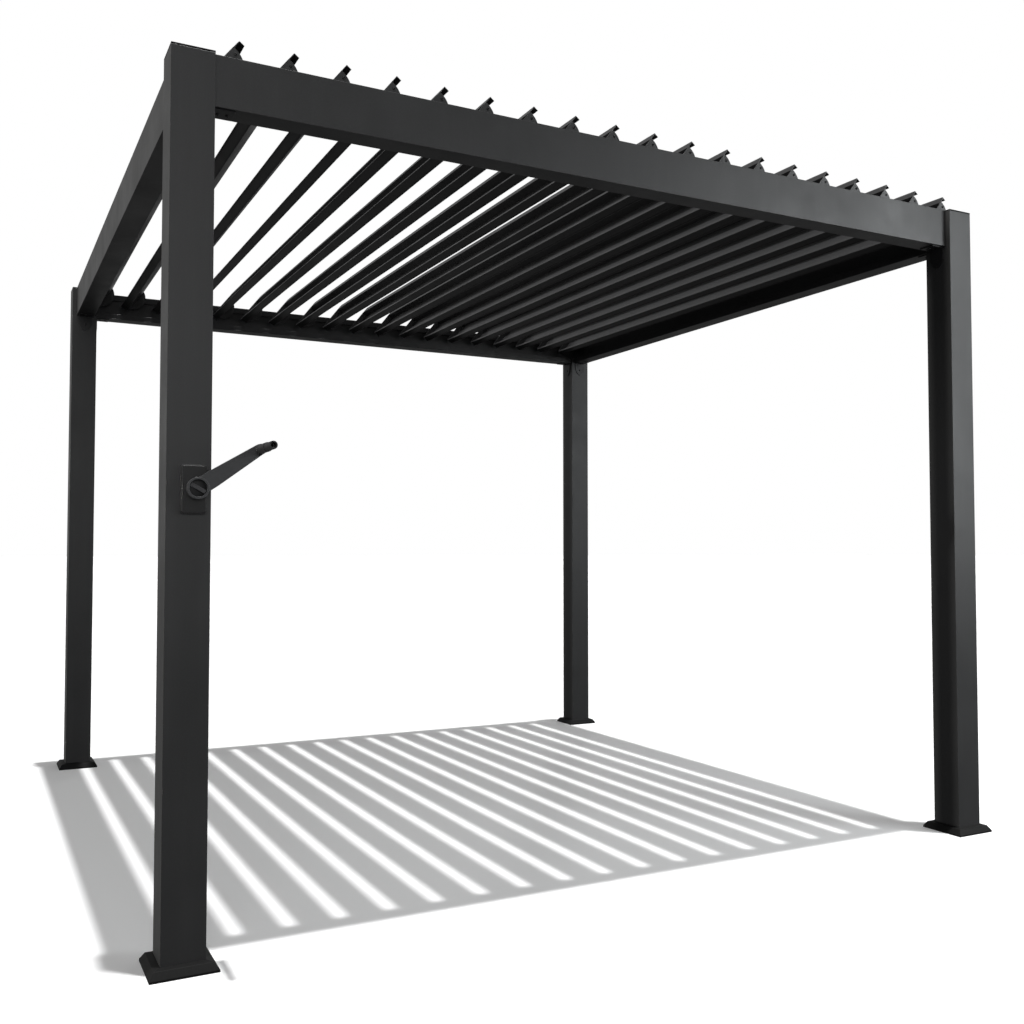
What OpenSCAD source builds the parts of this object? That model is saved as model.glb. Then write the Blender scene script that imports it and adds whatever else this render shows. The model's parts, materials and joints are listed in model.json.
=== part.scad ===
// Louvered pergola: four posts, a frame of gutter beams, and nineteen tilting louvers
// that one hand crank opens and closes together.
// Millimetres. X runs left to right along the front, Y from front to back, Z up.
// The origin is on the ground at the centre of the four posts.

/* [Frame] */
// Overall width over the posts, left to right
frame_w = 3000; // [2960:10:3040]
// Overall depth over the posts, front to back
frame_d = 2954; // [2400:2:3600]
// Height of the posts and of the beams' top edge
frame_h = 2382; // [2100:1:2700]

/* [Posts] */
// Width of a square post
post_w = 113; // [112:1:116]
// Thickness of a post's walls
post_wall = 3; // [2:0.5:4]
// Thickness of the cap on a post
cap_t = 5; // [3:0.5:6]

/* [Feet] */
// Width of the base plate under a post
base_w = 152; // [150:1:156]
// Thickness of the base plate
base_t = 6; // [4:1:8]
// Distance between the anchor holes of a base plate
anchor_spacing = 132; // [131:1:134]
// Radius of an anchor hole
anchor_r = 5.5; // [4:0.5:6]
// How far the foot cover stands out from the post at the ground
skirt_out = 30; // [29:1:34]
// Height of the foot cover
skirt_h = 27; // [24:1:32]

/* [Beams] */
// Height of a beam
beam_h = 140; // [130:1:160]
// Width of a beam's gutter, over its walls
beam_w = 80; // [76:1:84]
// Thickness of a beam's walls
beam_wall = 3; // [2:0.5:4]
// How far a beam's outer face lies behind the posts' outer faces
beam_inset = 20; // [18:1:22]
// Height of the gutter's inner lip
lip_h = 26; // [20:1:28]

/* [Louvers] */
// Tilt of the louvers as modelled, where 0 is flat and closed
tilt = 52; // [3:1:90]
// Height of the pivots above the ground, measured down from the beams' top edge
pivot_drop = 7; // [6:0.5:8]
// Thickness of the louver sheet
sheet_t = 2; // [1.5:0.5:2]
// Depth of a louver's rain channel
channel_depth = 32; // [28:1:34]
// Radius of the round end plate that carries a louver's pivots
end_plate_r = 63; // [60:1:64]

/* [Crank] */
// Height of the crank's axis above the ground
crank_z = 1227; // [1000:1:1400]
// Angle of the crank arm above the horizontal
crank_angle = 33.9; // [0:0.5:90]
// Length of the crank arm, from its axis to its end
crank_len = 204; // [180:1:230]

/* [Hidden] */
$fn = 64;
LOUVER_COUNT = 19;

// Frame places
post_x = (frame_w - post_w) / 2;
post_y = (frame_d - post_w) / 2;
beam_x = frame_w / 2 - beam_inset;
beam_y = frame_d / 2 - beam_inset;
beam_z = frame_h - beam_h;
beam_len_x = frame_w - 2 * post_w;
beam_len_y = frame_d - 2 * post_w;
// A post's strip outside the beams, which stays full height around the open corner
strip_w = beam_inset + beam_wall;

// Pivot rails and the layers between the louvers' end plates and the outer wall
rail_t = 8;
rail_h = 29;
rail_end_gap = 2;
pivot_r = 4;
running_gap = 0.05;
rail_y = beam_y - beam_wall;
end_gap = 32;
louver_half = rail_y - end_gap;
end_plate_t = 3;
pivot_depth = 6;

// Louver section: u to the right and w up from the pivot, when closed
wing_top = 8;
wing_end = 93;
wing_start = 61.5;
channel_end = 54;
channel_start = -76;
rim_end = -87;
rim_cut = 12;
flange_h = 17.5;
flange_cut = 9;
pivot_z = frame_h - pivot_drop;
first_pivot_x = -frame_w / 2 + 138;
last_pivot_x = frame_w / 2 - 125;
pitch = (last_pivot_x - first_pivot_x) / (LOUVER_COUNT - 1);

// Link bar that joins the front end plates
link_r = 42;
link_angle = 225;
link_pin_r = 3;
link_hole_gap = 0.1;
link_bar_h = 18;
link_bar_t = 4;
link_bar_y = louver_half + 11;
link_pin_len = 18;

// Corner brackets under the beams' ends
bracket_w = 61;
bracket_t = 4;
bracket_leg = 60;
tongue_straight = 30;
tongue_point_r = 53;

// Foot cover
skirt_wall = 2.5;
skirt_lip = 6;
skirt_shoulder_out = 17.5;
skirt_shoulder_h = skirt_h - 3;
skirt_post_gap = 0.5;

// Crank
crank_x = -frame_w / 2 + 75;
crank_face_y = -frame_d / 2;
plate_x = -frame_w / 2 + 68;
plate_z_offset = -2;
plate_size = [66, 126];
plate_corner_r = 9;
plate_t = 12;
plate_rim = 3;
shaft_r = 7;
shaft_clear_r = 10;
shaft_depth = 40;
hub_gap = 5;
hub_r = 28;
hub_t = 16;
hub_recess_r = 22.5;
hub_recess = 8;
hub_bar = [40, 10, 6];
hub_bar_angle = -62;
arm_t = 10;
arm_root = 46;
arm_root_w = 44;
arm_tip_w = 29;
arm_start = 14;
grip_at = crank_len - arm_tip_w / 2;
grip_gap = 2;
grip_len = 132;
grip_r = 12.5;
grip_collar_r = 14;
grip_collar_len = 10;
grip_tip_r = 10.8;
grip_tip_len = 56;
grip_bore_r = 7;
grip_bore_len = 18;
spindle_r = 4;
spindle_len = 100;

// Corners of the frame: name, and the side of the centre that each is on
CORNERS = [["front_left", -1, -1], ["front_right", 1, -1], ["back_left", -1, 1], ["back_right", 1, 1]];

// Sides of the frame: name, turn about Z, distance of the outer face from the centre, and length
SIDES = [
    ["front", 0, beam_y, beam_len_x],
    ["back", 180, beam_y, beam_len_x],
    ["left", -90, beam_x, beam_len_y],
    ["right", 90, beam_x, beam_len_y]
];

CORNER_NODES = [for (part = ["post", "cap", "foot_cover", "bracket"], c = CORNERS) str(part, "_", c[0])];
SIDE_NODES = [for (part = ["beam", "gutter_floor", "gutter_lip"], s = SIDES) str(part, "_", s[0])];
LOUVER_NODES = [for (k = [1 : LOUVER_COUNT]) louver_name(k)];

function louver_name(k) = str("louver_", k < 10 ? "0" : "", k);
function pivot_x(k) = first_pivot_x + (k - 1) * pitch;

// Extrudes an outline drawn in X and Z along Y, centred on Y = 0
module along_y(length) {
    translate([0, length / 2, 0])
        rotate([90, 0, 0])
            linear_extrude(length)
                children();
}

// Turns an outline of half widths against height into a mitred square solid
module mitred(outline, length) {
    mirrored = [for (i = [len(outline) - 1 : -1 : 0]) [-outline[i][0], outline[i][1]]];
    intersection() {
        along_y(length) polygon(concat(outline, mirrored));
        rotate([0, 0, 90]) along_y(length) polygon(concat(outline, mirrored));
    }
}

// Places a corner's part, drawn for the back right corner
module at_corner(c) {
    mirror([c[1] < 0 ? 1 : 0, 0, 0])
        mirror([0, c[2] < 0 ? 1 : 0, 0])
            children();
}

// Square post with its base plate; the two inner walls are cut down to the gutters
module post(c) {
    inner = post_w - 2 * post_wall;
    notch = post_w - strip_w;
    mouth = beam_w - 2 * beam_wall;
    color("#3c3d3e")
        difference() {
            at_corner(c)
                difference() {
                    translate([post_x, post_y, 0]) {
                        translate([-post_w / 2, -post_w / 2, 0])
                            cube([post_w, post_w, frame_h - cap_t]);
                        translate([-base_w / 2, -base_w / 2, 0])
                            cube([base_w, base_w, base_t]);
                    }
                    translate([post_x - inner / 2, post_y - inner / 2, base_t])
                        cube([inner, inner, frame_h]);
                    translate([post_x - post_w / 2 - 1, post_y - post_w / 2 - 1, beam_z + lip_h])
                        cube([notch + 1, notch + 1, frame_h]);
                    gutter_mouths(mouth);
                    for (sx = [-1, 1], sy = [-1, 1])
                        translate([post_x + sx * anchor_spacing / 2, post_y + sy * anchor_spacing / 2, -1])
                            cylinder(r = anchor_r, h = base_t + 2);
                }
            if (c[0] == "front_left")
                translate([crank_x, crank_face_y + post_wall + 1, crank_z])
                    rotate([90, 0, 0])
                        cylinder(r = shaft_clear_r, h = post_wall + 2);
        }
}

// Openings in a post's inner walls through which the gutters drain into it
module gutter_mouths(mouth) {
    mouth_h = lip_h;
    translate([post_x - post_w / 2 - 1, beam_y - beam_wall - mouth, beam_z + beam_wall])
        cube([post_wall + 2, mouth, mouth_h]);
    translate([beam_x - beam_wall - mouth, post_y - post_w / 2 - 1, beam_z + beam_wall])
        cube([mouth, post_wall + 2, mouth_h]);
}

// Thin L-shaped cap on a post's full-height corner
module cap(c) {
    color("#17181a")
        at_corner(c)
            translate([frame_w / 2 - post_w, frame_d / 2 - post_w, frame_h - cap_t])
                difference() {
                    cube([post_w, post_w, cap_t]);
                    translate([-1, -1, -1])
                        cube([post_w - strip_w + 1, post_w - strip_w + 1, cap_t + 2]);
                }
}

// Flared cover over a base plate
module foot_cover(c) {
    half = post_w / 2;
    outer = [
        [half + skirt_out, 0],
        [half + skirt_out, skirt_lip],
        [half + skirt_shoulder_out, skirt_shoulder_h],
        [half + skirt_post_gap, skirt_h]
    ];
    inner = [
        [half + skirt_out - skirt_wall, -1],
        [half + skirt_out - skirt_wall, skirt_lip - skirt_wall / 2],
        [half + skirt_shoulder_out - skirt_wall, skirt_shoulder_h - skirt_wall]
    ];
    hole = post_w + 2 * skirt_post_gap;
    color("#2f3032")
        at_corner(c)
            translate([post_x, post_y, 0])
                difference() {
                    mitred(outer, 2 * (half + skirt_out));
                    mitred(inner, 2 * (half + skirt_out));
                    translate([-hole / 2, -hole / 2, -1])
                        cube([hole, hole, skirt_h + 2]);
                }
}

// Outline of a bracket's tongue, hanging from Z = 0
module tongue_outline() {
    offset_x = tongue_point_r - bracket_w / 2;
    translate([-bracket_w / 2, -tongue_straight])
        square([bracket_w, tongue_straight]);
    translate([0, -tongue_straight])
        intersection() {
            translate([-offset_x, 0]) circle(r = tongue_point_r);
            translate([offset_x, 0]) circle(r = tongue_point_r);
            translate([-bracket_w, -2 * tongue_point_r])
                square([2 * bracket_w, 2 * tongue_point_r]);
        }
}

// One bracket: a leg under the beam along -Y and a pointed tongue on the post's face
module beam_bracket() {
    translate([-bracket_w / 2, -bracket_leg, -bracket_t])
        cube([bracket_w, bracket_leg, bracket_t]);
    translate([0, -bracket_t / 2, 0])
        along_y(bracket_t)
            tongue_outline();
}

// The two brackets of a corner
module bracket(c) {
    beam_mid = beam_inset + beam_w / 2;
    color("#202123")
        at_corner(c) {
            translate([frame_w / 2 - beam_mid, frame_d / 2 - post_w, beam_z])
                beam_bracket();
            translate([frame_w / 2 - post_w, frame_d / 2 - beam_mid, beam_z])
                rotate([0, 0, -90])
                    beam_bracket();
        }
}

// Puts a side's part in place, drawn along X with its outer face on Y = 0 and its underside on Z = 0
module on_side(side) {
    rotate([0, 0, side[1]])
        translate([0, -side[2], beam_z])
            children();
}

// Tall outer wall of a side's gutter beam
module beam(side) {
    color("#4a4b4d")
        on_side(side)
            translate([-side[3] / 2, 0, 0])
                cube([side[3], beam_wall, beam_h]);
}

// Floor of a side's gutter, seen from below as the beam's underside
module gutter_floor(side) {
    color("#4a4b4d")
        on_side(side)
            translate([-side[3] / 2, beam_wall, 0])
                cube([side[3], beam_w - beam_wall, beam_wall]);
}

// Low inner lip that keeps the water in a side's gutter
module gutter_lip(side) {
    color("#4a4b4d")
        on_side(side)
            translate([-side[3] / 2, beam_w - beam_wall, beam_wall])
                cube([side[3], beam_wall, lip_h - beam_wall]);
}

// Rail on the front beam's outer wall, with one hole for each louver's pivot
module pivot_rail() {
    rail_len = beam_len_x - 2 * rail_end_gap;
    color("#2a2b2d")
        difference() {
            translate([-rail_len / 2, -rail_y, frame_h - 1 - rail_h])
                cube([rail_len, rail_t, rail_h]);
            for (k = [1 : LOUVER_COUNT])
                translate([pivot_x(k), -rail_y + rail_t + 1, pivot_z])
                    rotate([90, 0, 0])
                        cylinder(r = pivot_r + running_gap, h = rail_t + 2);
        }
}

module pivot_rail_front() {
    pivot_rail();
}

module pivot_rail_back() {
    mirror([0, 1, 0]) pivot_rail();
}

// Folded sheet of a louver: rim, rain channel, wing and drip flange
module louver_outline() {
    channel_floor = wing_top - channel_depth;
    polygon([
        [rim_end, wing_top],
        [channel_start + sheet_t, wing_top],
        [channel_start + sheet_t, channel_floor + sheet_t],
        [channel_end - sheet_t, channel_floor + sheet_t],
        [wing_start - sheet_t, wing_top],
        [wing_end, wing_top],
        [wing_end, wing_top - flange_h],
        [wing_end - sheet_t, wing_top - flange_h],
        [wing_end - sheet_t, wing_top - sheet_t],
        [wing_start, wing_top - sheet_t],
        [channel_end, channel_floor],
        [channel_start, channel_floor],
        [channel_start, wing_top - sheet_t],
        [rim_end, wing_top - sheet_t]
    ]);
}

// End plate: closes the channel and carries the pivot on a round lug
module end_plate_outline() {
    polygon([
        [channel_start, wing_top],
        [channel_start, wing_top - channel_depth],
        [channel_end, wing_top - channel_depth],
        [wing_start, wing_top]
    ]);
    intersection() {
        circle(r = end_plate_r);
        translate([-end_plate_r, -end_plate_r])
            square([2 * end_plate_r, end_plate_r + wing_top]);
    }
}

// A louver about its own pivot, closed
module closed_louver() {
    link_pin = [link_r * cos(link_angle), link_r * sin(link_angle)];
    pivot_len = rail_y - louver_half - rail_t + pivot_depth;
    difference() {
        along_y(2 * (louver_half - end_plate_t))
            louver_outline();
        // The rim stops short, so that the next louver's end plate swings past it
        for (side = [-1, 1])
            translate([rim_end - 1, side * louver_half - rim_cut, wing_top - sheet_t - 1])
                cube([channel_start - rim_end + 1, 2 * rim_cut, sheet_t + 2]);
        for (side = [-1, 1])
            translate([wing_end - 3 * sheet_t, side * louver_half - flange_cut, wing_top - flange_h - 1])
                cube([3 * sheet_t + 1, 2 * flange_cut, flange_h + 2]);
    }
    for (side = [-1, 1])
        mirror([0, side > 0 ? 0 : 1, 0]) {
            translate([0, louver_half - end_plate_t / 2, 0])
                along_y(end_plate_t)
                    end_plate_outline();
            translate([0, louver_half + pivot_len / 2 - 0.5, 0])
                along_y(pivot_len + 1)
                    circle(r = pivot_r);
        }
    translate([link_pin[0], -louver_half - link_pin_len / 2 + 0.5, link_pin[1]])
        along_y(link_pin_len + 1)
            circle(r = link_pin_r);
}

module louver(k) {
    color("#56585a")
        translate([pivot_x(k), 0, pivot_z])
            rotate([0, -tilt, 0])
                closed_louver();
}

// Flat bar on the louvers' link pins, in front of their end plates
module link_bar() {
    drop_x = link_r * cos(link_angle + tilt);
    drop_z = link_r * sin(link_angle + tilt);
    bar_len = pivot_x(LOUVER_COUNT) - pivot_x(1);
    color("#6b6d70")
        translate([pivot_x(1) + drop_x, -link_bar_y, pivot_z + drop_z])
            along_y(link_bar_t)
                difference() {
                    union() {
                        translate([0, -link_bar_h / 2]) square([bar_len, link_bar_h]);
                        for (end = [0, 1])
                            translate([end * bar_len, 0]) circle(r = link_bar_h / 2);
                    }
                    for (k = [0 : LOUVER_COUNT - 1])
                        translate([k * pitch, 0]) circle(r = link_pin_r + link_hole_gap);
                }
}

// Rectangle with round corners, centred
module rounded_plate(size, corner_r) {
    square([size[0] - 2 * corner_r, size[1]], center = true);
    square([size[0], size[1] - 2 * corner_r], center = true);
    for (sx = [-1, 1], sy = [-1, 1])
        translate([sx * (size[0] / 2 - corner_r), sy * (size[1] / 2 - corner_r)])
            circle(r = corner_r);
}

// Raised plate on the front left post that carries the crank's shaft
module crank_plate() {
    step_t = plate_t - plate_rim;
    inner_size = [plate_size[0] - 2 * plate_rim, plate_size[1] - 2 * plate_rim];
    color("#333436")
        difference() {
            translate([plate_x, crank_face_y, crank_z + plate_z_offset]) {
                translate([0, -step_t / 2, 0])
                    along_y(step_t) rounded_plate(plate_size, plate_corner_r);
                translate([0, -plate_t / 2, 0])
                    along_y(plate_t) rounded_plate(inner_size, plate_corner_r - plate_rim);
            }
            translate([crank_x, crank_face_y, crank_z])
                along_y(3 * plate_t) circle(r = shaft_r + running_gap);
        }
}

// Outline of the arm beyond the hub, along +X, with a round end under the grip
module arm_outline() {
    polygon([
        [arm_start, -arm_root_w / 2],
        [arm_root, -arm_root_w / 2],
        [grip_at, -arm_tip_w / 2],
        [grip_at, arm_tip_w / 2],
        [arm_root, arm_root_w / 2],
        [arm_start, arm_root_w / 2]
    ]);
    translate([grip_at, 0]) circle(r = arm_tip_w / 2);
}

// Draws a solid about the crank's axis with its back on the hub's back face
module on_crank() {
    translate([crank_x, crank_face_y - plate_t - hub_gap, crank_z])
        rotate([0, -crank_angle, 0])
            children();
}

// Crank: shaft, ringed hub with a bar across its recess, flat arm and grip spindle
module crank_arm() {
    arm_mid = -hub_t / 2;
    arm_face = arm_mid - arm_t / 2;
    color("#4c4d50")
        on_crank() {
            difference() {
                translate([0, -hub_t / 2, 0]) along_y(hub_t) circle(r = hub_r);
                translate([0, -hub_t, 0]) along_y(2 * hub_recess) circle(r = hub_recess_r);
            }
            difference() {
                translate([0, arm_mid, 0]) along_y(arm_t) arm_outline();
                translate([0, -hub_t, 0]) along_y(2 * hub_recess) circle(r = hub_recess_r);
            }
            translate([0, -hub_t + hub_recess - hub_bar[2] / 2, 0])
                rotate([0, -hub_bar_angle, 0])
                    cube([hub_bar[0], hub_bar[2] + 1, hub_bar[1]], center = true);
            translate([0, (shaft_depth + hub_gap) / 2 - 1, 0])
                along_y(shaft_depth + hub_gap + 2) circle(r = shaft_r);
            translate([grip_at, arm_face - spindle_len / 2 + 1, 0])
                along_y(spindle_len + 2) circle(r = spindle_r);
        }
}

// Hollow stepped grip that turns on the arm's spindle
module crank_grip() {
    arm_face = -hub_t / 2 - arm_t / 2;
    color("#3a3b3d")
        on_crank()
            translate([grip_at, arm_face - grip_gap, 0])
                rotate([90, 0, 0])
                    difference() {
                        union() {
                            cylinder(r = grip_collar_r, h = grip_collar_len);
                            cylinder(r = grip_r, h = grip_len - grip_tip_len);
                            cylinder(r = grip_tip_r, h = grip_len);
                        }
                        translate([0, 0, -1])
                            cylinder(r = spindle_r + running_gap, h = grip_len);
                        translate([0, 0, grip_len - grip_bore_len])
                            cylinder(r = grip_bore_r, h = grip_bore_len + 1);
                    }
}

for (c = CORNERS) {
    post(c);
    cap(c);
    foot_cover(c);
    bracket(c);
}
for (s = SIDES) {
    beam(s);
    gutter_floor(s);
    gutter_lip(s);
}
pivot_rail_front();
pivot_rail_back();
crank_plate();
for (k = [1 : LOUVER_COUNT])
    louver(k);
link_bar();
crank_arm();
crank_grip();
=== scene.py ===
import bpy
import json
import math
from mathutils import Matrix, Vector


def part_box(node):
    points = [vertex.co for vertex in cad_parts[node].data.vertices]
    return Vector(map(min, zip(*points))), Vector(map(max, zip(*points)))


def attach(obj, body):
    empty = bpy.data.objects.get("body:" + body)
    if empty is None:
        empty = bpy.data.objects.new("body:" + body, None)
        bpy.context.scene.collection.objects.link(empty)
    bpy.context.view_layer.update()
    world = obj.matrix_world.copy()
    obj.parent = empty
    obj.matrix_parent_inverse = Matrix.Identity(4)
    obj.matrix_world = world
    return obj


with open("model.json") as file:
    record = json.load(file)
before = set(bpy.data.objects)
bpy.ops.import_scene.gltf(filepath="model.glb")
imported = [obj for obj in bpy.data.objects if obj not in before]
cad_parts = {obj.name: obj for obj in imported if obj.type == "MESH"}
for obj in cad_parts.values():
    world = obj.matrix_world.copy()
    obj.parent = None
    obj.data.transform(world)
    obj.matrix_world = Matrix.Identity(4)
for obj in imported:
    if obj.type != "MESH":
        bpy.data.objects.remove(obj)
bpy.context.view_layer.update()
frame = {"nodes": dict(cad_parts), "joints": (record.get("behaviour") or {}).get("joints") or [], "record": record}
scene = bpy.context.scene
joints = {j["name"]: j for j in frame["joints"]}

# Frame, in metres: outer faces of the posts in X and Y, then beams, brackets, base plates and rails
FRAME_HALF = (1.5, 1.477)
POST_W = 0.113
BEAM_MID = 0.060
CORNERS = {"front_left": (-1, -1), "front_right": (1, -1), "back_left": (-1, 1), "back_right": (1, 1)}
SADDLE_Z = 2.238
SADDLE_SCREWS = (0.018, 0.044)
TONGUE_T = 0.004
TONGUE_Z = 2.196
ANCHOR_OFFSET = 0.066
BASE_PLATE_T = 0.006
RAIL_FACE = 1.446
RAIL_SCREW_Z = 2.3565
RAIL_SCREW_REACH = 1.29
RAIL_SCREWS = 10

# Louver about its pivot: u to the right and w up when closed, and the end plates' outer face in Y
TILT = math.radians(52)
LOUVER_COUNT = 19
END_FACE = 1.422
END_SCREW = (0.051, -0.010)
BEAD = (-0.0755, -0.0235)
BEAD_R = 0.0021
BEAD_HALF = 1.4185

# Crank: gap behind the hub, thickness behind its recess, the near-black disc there that paints the recess's shade,
# and the fold beside the grip
HUB_GAP = 0.005
RECESS_FLOOR = 0.008
SHADE_DISC_R = 0.0221
GRIP_GAP = 0.002
KNUCKLE_SINK = 0.0004
KNUCKLE_OUT = (0.004, -0.009)
KNUCKLE_DOWN = 0.0105


# ---------------------------------------------------------------- materials

def enabled(sockets):
    """The sockets that a mix node shows for its data type."""
    return [s for s in sockets if s.enabled]


def brighter(color, gain, lift):
    return tuple(min(1.0, c * gain + lift) for c in color) + (1.0,)


def coat(name, color, rough=0.42, spread=0.12, grain=0.03, edge=0.5, metallic=0.0, coarse=0.9,
         streak=None, edge_wear_highlight_lift=0.02, shine=0.42):
    """Powder coat, paint, plastic or metal: cloudy tone, fine flecks, streaks, and lighter edges that are partly
    wear and partly painted highlight.
    """
    mat = bpy.data.materials.new(name)
    mat.use_nodes = True
    tree = mat.node_tree
    tree.nodes.clear()
    new = tree.nodes.new
    link = tree.links.new
    out = new("ShaderNodeOutputMaterial")
    shader = new("ShaderNodeBsdfPrincipled")
    link(shader.outputs["BSDF"], out.inputs["Surface"])
    shader.inputs["Metallic"].default_value = metallic
    shader.inputs["Specular IOR Level"].default_value = shine
    place = new("ShaderNodeTexCoord")

    def noise(scale, detail=4.0, stretch=None):
        source = place.outputs["Object"]
        if stretch:
            mapping = new("ShaderNodeMapping")
            mapping.inputs["Scale"].default_value = stretch
            link(source, mapping.inputs["Vector"])
            source = mapping.outputs["Vector"]
        node = new("ShaderNodeTexNoise")
        node.inputs["Scale"].default_value = scale
        node.inputs["Detail"].default_value = detail
        node.inputs["Roughness"].default_value = 0.6
        link(source, node.inputs["Vector"])
        return node.outputs["Fac"]

    def ramp(source, low, high, start=0.3, end=0.7):
        node = new("ShaderNodeMapRange")
        node.inputs["From Min"].default_value = start
        node.inputs["From Max"].default_value = end
        node.inputs["To Min"].default_value = low
        node.inputs["To Max"].default_value = high
        link(source, node.inputs["Value"])
        return node.outputs["Result"]

    def mix(factor, first, second):
        node = new("ShaderNodeMix")
        node.data_type = "RGBA"
        for socket, value in zip(enabled(node.inputs), (factor, first, second)):
            if hasattr(value, "is_linked"):
                link(value, socket)
            else:
                socket.default_value = value
        return enabled(node.outputs)[0]

    dark = tuple(c * (1 - spread) for c in color) + (1.0,)
    light = tuple(c * (1 + spread) for c in color) + (1.0,)
    base = mix(ramp(noise(coarse, 3.0), 0.0, 1.0), dark, light)
    base = mix(ramp(noise(260.0, 2.0), 0.0, 0.35, 0.45, 0.75), base, brighter(color, 1.35, 0.004))
    if streak:
        base = mix(ramp(noise(3.0, 5.0, streak), 0.0, 0.3, 0.48, 0.8), base, brighter(color, 1.3, 0.006))
    # An edge is lightened where its rounded normal leaves the flat one; this lighter edge is partly wear and
    # partly painted highlight
    bevel = new("ShaderNodeBevel")
    bevel.samples = 4
    bevel.inputs["Radius"].default_value = 0.0016
    geometry = new("ShaderNodeNewGeometry")
    dot = new("ShaderNodeVectorMath")
    dot.operation = "DOT_PRODUCT"
    link(bevel.outputs["Normal"], dot.inputs[0])
    link(geometry.outputs["Normal"], dot.inputs[1])
    # Mask for the lighter edges: edge wear together with painted edge highlight
    wear_and_highlight = ramp(dot.outputs["Value"], edge, 0.0, 0.72, 0.985)
    link(mix(wear_and_highlight, base, brighter(color, 2.1, edge_wear_highlight_lift)), shader.inputs["Base Color"])
    link(ramp(noise(5.0, 6.0), rough - 0.06, rough + 0.08), shader.inputs["Roughness"])
    bump = new("ShaderNodeBump")
    bump.inputs["Strength"].default_value = grain
    bump.inputs["Distance"].default_value = 0.0006
    link(noise(900.0, 2.0), bump.inputs["Height"])
    link(bevel.outputs["Normal"], bump.inputs["Normal"])
    link(bump.outputs["Normal"], shader.inputs["Normal"])
    return mat


CHARCOAL = (0.036, 0.0362, 0.037)
paint = {
    "frame_paint": coat("charcoal powder coat", CHARCOAL, 0.40, streak=(9.0, 9.0, 0.6)),
    # The louvers' lighter edges are partly painted highlight along the blade edges and partly wear
    "louver_paint": coat("louver powder coat", CHARCOAL, 0.36, streak=(12.0, 0.4, 12.0), edge=0.8,
                         edge_wear_highlight_lift=0.07),
    "foot_cover_paint": coat("foot cover coat", (0.009, 0.009, 0.009), 0.55, coarse=4.0, edge=0.35,
                             edge_wear_highlight_lift=0.012, shine=0.14),
    "bracket_paint": coat("bracket coat", (0.012, 0.012, 0.013), 0.38, coarse=9.0),
    "black_trim": coat("black cap", (0.004, 0.004, 0.0045), 0.6, grain=0.05, edge=0.0, coarse=9.0,
                       shine=0.06),
    "rail_plastic": coat("rail nylon", (0.018, 0.018, 0.019), 0.55, grain=0.06, coarse=6.0),
    "link_metal": coat("link bar metal", (0.33, 0.33, 0.335), 0.36, 0.08, 0.04, metallic=1.0,
                       streak=(0.7, 9.0, 14.0)),
    # The crank arm's lighter edges are painted highlight along its top edge, and partly wear
    "crank_paint": coat("crank coat", (0.062, 0.063, 0.066), 0.32, coarse=9.0, edge=0.9, edge_wear_highlight_lift=0.1),
    # The crank plate's bright rim is a painted highlight of the rim as lit from above left
    "plate_plastic": coat("crank plate", (0.010, 0.010, 0.0105), 0.35, coarse=9.0, edge=1.0,
                          edge_wear_highlight_lift=0.14),
    # Near-black: painted shade on the hub recess disc, and the fold knuckles' own dark colour
    "recess": coat("hub recess", (0.006, 0.006, 0.0065), 0.6, edge=0.0, coarse=20.0),
    "grip_plastic": coat("grip plastic", (0.026, 0.026, 0.027), 0.48, grain=0.09, coarse=14.0),
    "screw": coat("black oxide screw", (0.02, 0.02, 0.021), 0.32, 0.2, 0.05, metallic=0.6, coarse=60.0),
    "zinc": coat("zinc anchor", (0.42, 0.42, 0.43), 0.34, 0.15, 0.05, metallic=1.0, coarse=50.0),
}
slots = {s["node"]: s["material_slot"] for s in frame["record"]["subparts"]}
for name, node in frame["nodes"].items():
    node.data.materials.clear()
    node.data.materials.append(paint[slots[name]])


# ---------------------------------------------------------------- small pieces

def turned_piece(outline, segments, name, material, where, body):
    """A turned piece: outline of (radius, height) pairs about Z, placed by the matrix where."""
    verts = []
    for radius, height in outline:
        for i in range(segments):
            a = 2 * math.pi * i / segments
            verts.append(tuple(where @ Vector((radius * math.cos(a), radius * math.sin(a), height))))
    faces = []
    last = (len(outline) - 1) * segments
    for ring in range(0, last, segments):
        for i in range(segments):
            k = (i + 1) % segments
            faces.append((ring + i, ring + k, ring + segments + k, ring + segments + i))
    faces.append(tuple(range(segments - 1, -1, -1)))
    faces.append(tuple(range(last, last + segments)))
    mesh = bpy.data.meshes.new(name)
    mesh.from_pydata(verts, [], faces)
    mesh.validate()
    mesh.update()
    mesh.shade_smooth()
    mesh.set_sharp_from_angle(angle=math.radians(35))
    mesh.materials.append(material)
    piece = bpy.data.objects.new(name, mesh)
    scene.collection.objects.link(piece)
    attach(piece, body)


def facing(point, direction):
    """Matrix that puts Z along direction at point."""
    turn = Vector(direction).normalized().to_track_quat("Z", "Y").to_matrix().to_4x4()
    return Matrix.Translation(Vector(point)) @ turn


def pan_screw(name, point, direction, body, radius=0.0045, height=0.0028):
    """Pan head with its drive recess as a shallow dish."""
    outline = [(radius, -0.0004), (radius, height * 0.35), (radius * 0.86, height * 0.78),
               (radius * 0.55, height), (radius * 0.4, height), (radius * 0.26, height * 0.45)]
    turned_piece(outline, 20, name, paint["screw"], facing(point, direction), body)


def hex_bolt(name, point, direction, body, across, height=0.0064):
    """Hexagon head on a washer."""
    corner = across / 2 / math.cos(math.radians(30))
    washer_t = 0.0018
    head = [(corner, washer_t), (corner, height + 0.0008), (corner * 0.88, height + 0.0018)]
    washer = [(across * 0.58, -0.0003), (across * 0.58, washer_t), (across * 0.54, washer_t + 0.0004)]
    where = facing(point, direction)
    turned_piece(washer, 28, name + "_washer", paint["zinc"], where, body)
    turned_piece(head, 6, name, paint["zinc"], where, body)


def at_rest_tilt(u, w):
    """A louver's point (u, w) as offsets in X and Z at rest."""
    return (u * math.cos(TILT) - w * math.sin(TILT), u * math.sin(TILT) + w * math.cos(TILT))


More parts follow.
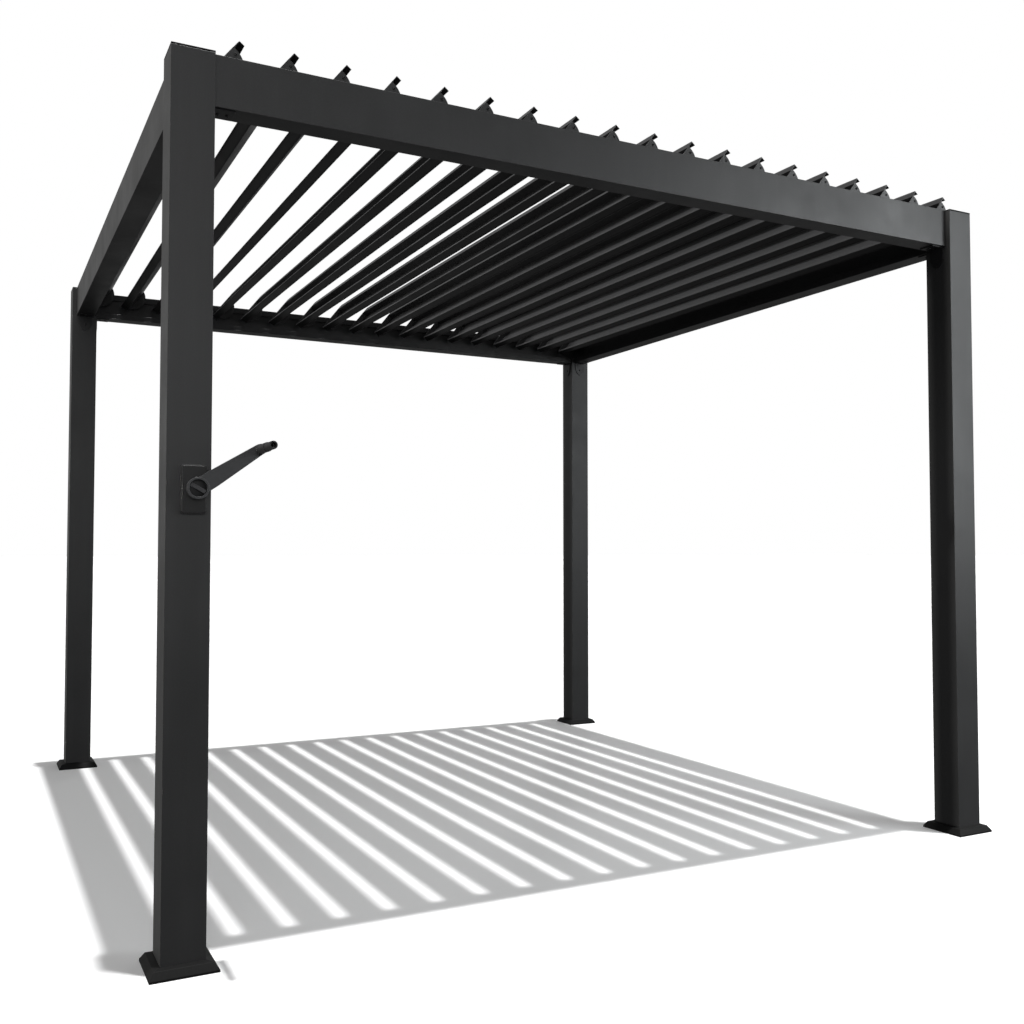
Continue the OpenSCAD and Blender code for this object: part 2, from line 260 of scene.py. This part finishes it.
def louver_trim(k):
    """A screw on both end plates, and a rolled bead along the rain channel's lower edge."""
    louver = f"louver_{k:02d}"
    pivot = joints[louver + "_tilt"]["pos_m"]
    dx, dz = at_rest_tilt(*END_SCREW)
    for side, word in ((-1, "front"), (1, "back")):
        spot = (pivot[0] + dx, side * END_FACE, pivot[2] + dz)
        pan_screw(f"end_screw_{word}_{k:02d}", spot, (0, side, 0), louver)
    dx, dz = at_rest_tilt(*BEAD)
    start = (pivot[0] + dx, -BEAD_HALF, pivot[2] + dz)
    length = 2 * BEAD_HALF
    bead = [(0.0012, 0.0), (BEAD_R, 0.0008), (BEAD_R, length - 0.0008), (0.0012, length)]
    turned_piece(bead, 12, f"bead_{k:02d}", paint["louver_paint"], facing(start, (0, 1, 0)), louver)


def under_beam(corner, run, inward, z):
    """Point on the middle of the beam along run, inward from the post's inner face."""
    sx, sy = CORNERS[corner]
    if run == "x":
        return (sx * (FRAME_HALF[0] - POST_W - inward), sy * (FRAME_HALF[1] - BEAM_MID), z)
    return (sx * (FRAME_HALF[0] - BEAM_MID), sy * (FRAME_HALF[1] - POST_W - inward), z)


def bracket_screw(name, point, direction):
    pan_screw(name, point, direction, "frame", 0.0055, 0.003)


def corner_trim(corner):
    """Bracket screws under both beams and on both tongues, and the base plate's anchors."""
    sx, sy = CORNERS[corner]
    for run, face in (("x", (-sx, 0, 0)), ("y", (0, -sy, 0))):
        for i, inward in enumerate(SADDLE_SCREWS):
            bracket_screw(f"saddle_screw_{corner}_{run}{i}", under_beam(corner, run, inward, SADDLE_Z),
                          (0, 0, -1))
        bracket_screw(f"tongue_screw_{corner}_{run}", under_beam(corner, run, TONGUE_T, TONGUE_Z), face)
    post_x, post_y = (half - POST_W / 2 for half in FRAME_HALF)
    for i, (ax, ay) in enumerate(((-1, -1), (-1, 1), (1, -1), (1, 1))):
        spot = (sx * post_x + ax * ANCHOR_OFFSET, sy * post_y + ay * ANCHOR_OFFSET, BASE_PLATE_T)
        hex_bolt(f"anchor_{corner}_{i}", spot, (0, 0, 1), "frame", 0.013)


def rail_trim(side, word):
    """Screws that hold a pivot rail to its beam's outer wall."""
    step = 2 * RAIL_SCREW_REACH / (RAIL_SCREWS - 1)
    for i in range(RAIL_SCREWS):
        spot = (-RAIL_SCREW_REACH + i * step, side * RAIL_FACE, RAIL_SCREW_Z)
        pan_screw(f"rail_screw_{word}_{i}", spot, (0, -side, 0), "frame", 0.0035, 0.002)


def crank_trim():
    """Near-black disc on the floor of the hub's recess as painted shade, and two knuckles of the fold beside the
    grip.
    """
    grip = Vector(joints["grip_spin"]["pos_m"])
    hub = Vector(joints["crank_turn"]["pos_m"])
    arm = Vector((grip.x - hub.x, 0, grip.z - hub.z)).normalized()
    across = Vector((-arm.z, 0, arm.x))
    floor_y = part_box("crank_plate")[0].y - HUB_GAP - RECESS_FLOOR
    # A near-black disc on the recess floor stands in for the shade inside the hub's recess
    disc = [(SHADE_DISC_R, 0.0), (SHADE_DISC_R, 0.0005), (SHADE_DISC_R - 0.0005, 0.0007)]
    turned_piece(disc, 48, "hub_recess_painted_shade", paint["recess"], facing((hub.x, floor_y, hub.z), (0, -1, 0)),
                 "crank")
    knuckle = [(0.0036, 0.0), (0.0042, 0.0006), (0.0042, 0.0010), (0.0034, 0.0016)]
    arm_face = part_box("crank_grip")[1].y + GRIP_GAP
    beside = Vector((grip.x, arm_face + KNUCKLE_SINK, grip.z)) - across * KNUCKLE_DOWN
    for i, out in enumerate(KNUCKLE_OUT):
        turned_piece(knuckle, 24, f"fold_knuckle_{i}", paint["recess"],
                     facing(beside + arm * out, (0, -1, 0)), "crank")


for number in range(1, LOUVER_COUNT + 1):
    louver_trim(number)
for corner_name in CORNERS:
    corner_trim(corner_name)
rail_trim(-1, "front")
rail_trim(1, "back")
crank_trim()


# ---------------------------------------------------------------- stage, lights and camera

def floor_material():
    """Pale to the camera, pale in reflections, and dark in what it bounces onto the object."""
    mat = bpy.data.materials.new("pale floor")
    mat.use_nodes = True
    tree = mat.node_tree
    new = tree.nodes.new
    link = tree.links.new
    shader = tree.nodes["Principled BSDF"]
    shader.inputs["Roughness"].default_value = 0.9
    shader.inputs["Specular IOR Level"].default_value = 0.0
    place = new("ShaderNodeTexCoord")
    noise = new("ShaderNodeTexNoise")
    noise.inputs["Scale"].default_value = 1.5
    link(place.outputs["Object"], noise.inputs["Vector"])
    cloud = new("ShaderNodeMix")
    cloud.data_type = "RGBA"
    factor, low, high = enabled(cloud.inputs)
    low.default_value = (0.88, 0.88, 0.88, 1)
    high.default_value = (0.9, 0.9, 0.9, 1)
    link(noise.outputs["Fac"], factor)
    path = new("ShaderNodeLightPath")
    choose = new("ShaderNodeMix")
    choose.data_type = "RGBA"
    factor, bounced, seen = enabled(choose.inputs)
    bounced.default_value = (0.04, 0.04, 0.04, 1)
    link(path.outputs["Is Camera Ray"], factor)
    link(enabled(cloud.outputs)[0], seen)
    link(enabled(choose.outputs)[0], shader.inputs["Base Color"])
    mirrored = new("ShaderNodeMath")
    mirrored.operation = "MULTIPLY"
    mirrored.inputs[1].default_value = 0.08
    link(path.outputs["Is Glossy Ray"], mirrored.inputs[0])
    lift = new("ShaderNodeMath")
    lift.operation = "MULTIPLY_ADD"
    lift.inputs[1].default_value = 0.21
    link(path.outputs["Is Camera Ray"], lift.inputs[0])
    link(mirrored.outputs["Value"], lift.inputs[2])
    shader.inputs["Emission Color"].default_value = (1, 1, 1, 1)
    link(lift.outputs["Value"], shader.inputs["Emission Strength"])
    return mat


def area(name, size, power, place, target, color=(1, 1, 1)):
    """Soft box at place, turned to target."""
    data = bpy.data.lights.new(name, "AREA")
    data.shape = "RECTANGLE"
    data.size, data.size_y = size
    data.energy = power
    data.color = color
    lamp = bpy.data.objects.new(name, data)
    lamp.location = place
    lamp.visible_camera = False
    lamp.rotation_euler = (Vector(target) - Vector(place)).to_track_quat("-Z", "Y").to_euler()
    scene.collection.objects.link(lamp)


def beam_light(name, energy, direction, angle, color=(1, 1, 1), glossy=True):
    """Parallel soft light from far away; without glossy it leaves no hot spots on the coat."""
    data = bpy.data.lights.new(name, "SUN")
    data.energy = energy
    data.angle = math.radians(angle)
    data.color = color
    lamp = bpy.data.objects.new(name, data)
    lamp.rotation_euler = Vector(direction).to_track_quat("-Z", "Y").to_euler()
    lamp.visible_glossy = glossy
    scene.collection.objects.link(lamp)


def studio_world(lit, mirrored):
    """White to the camera, mirrored in reflections, and lit as light on the object."""
    world = bpy.data.worlds.new("studio")
    scene.world = world
    world.use_nodes = True
    tree = world.node_tree
    tree.nodes.clear()
    path = tree.nodes.new("ShaderNodeLightPath")
    shader = None
    for strength, ray in ((lit, None), (mirrored, "Is Glossy Ray"), (1.0, "Is Camera Ray")):
        background = tree.nodes.new("ShaderNodeBackground")
        background.inputs["Color"].default_value = (1, 1, 1, 1)
        background.inputs["Strength"].default_value = strength
        if ray is None:
            shader = background.outputs["Background"]
            continue
        choose = tree.nodes.new("ShaderNodeMixShader")
        tree.links.new(path.outputs[ray], choose.inputs["Fac"])
        tree.links.new(shader, choose.inputs[1])
        tree.links.new(background.outputs["Background"], choose.inputs[2])
        shader = choose.outputs["Shader"]
    output = tree.nodes.new("ShaderNodeOutputWorld")
    tree.links.new(shader, output.inputs["Surface"])


bpy.ops.mesh.primitive_plane_add(size=400, location=(0, 0, 0))
floor = bpy.context.object
floor.name = "floor"
floor.data.materials.append(floor_material())

area("front", (5.0, 4.0), 150, (-3.4, -9.0, 3.2), (-0.6, -1.4, 1.3))
area("front right", (1.8, 2.6), 90, (3.3, -4.2, 2.3), (1.3, -1.46, 1.7), (0.95, 0.985, 1.0))
beam_light("high", 3.1, (-0.13, 0.12, -2.38), 1.1)
beam_light("left", 1.9, (1, 0.0, -0.03), 1.6, (1.0, 0.99, 0.95))
beam_light("right", 3.6, (-1, 0.0, -0.02), 5, glossy=False)
beam_light("back", 3.6, (-0.55, -0.83, -0.03), 5, glossy=False)
studio_world(lit=0.045, mirrored=0.30)

lens = bpy.data.cameras.new("camera")
lens.sensor_width = 36
lens.lens = 36.885
lens.dof.use_dof = False
lens.clip_end = 300
camera = bpy.data.objects.new("camera", lens)
camera.location = (-1.9447, -4.2439, 1.0672)
camera.rotation_euler = (math.radians(92.12), 0, math.radians(-27.42))
scene.collection.objects.link(camera)
scene.camera = camera
scene.view_settings.view_transform = "Standard"
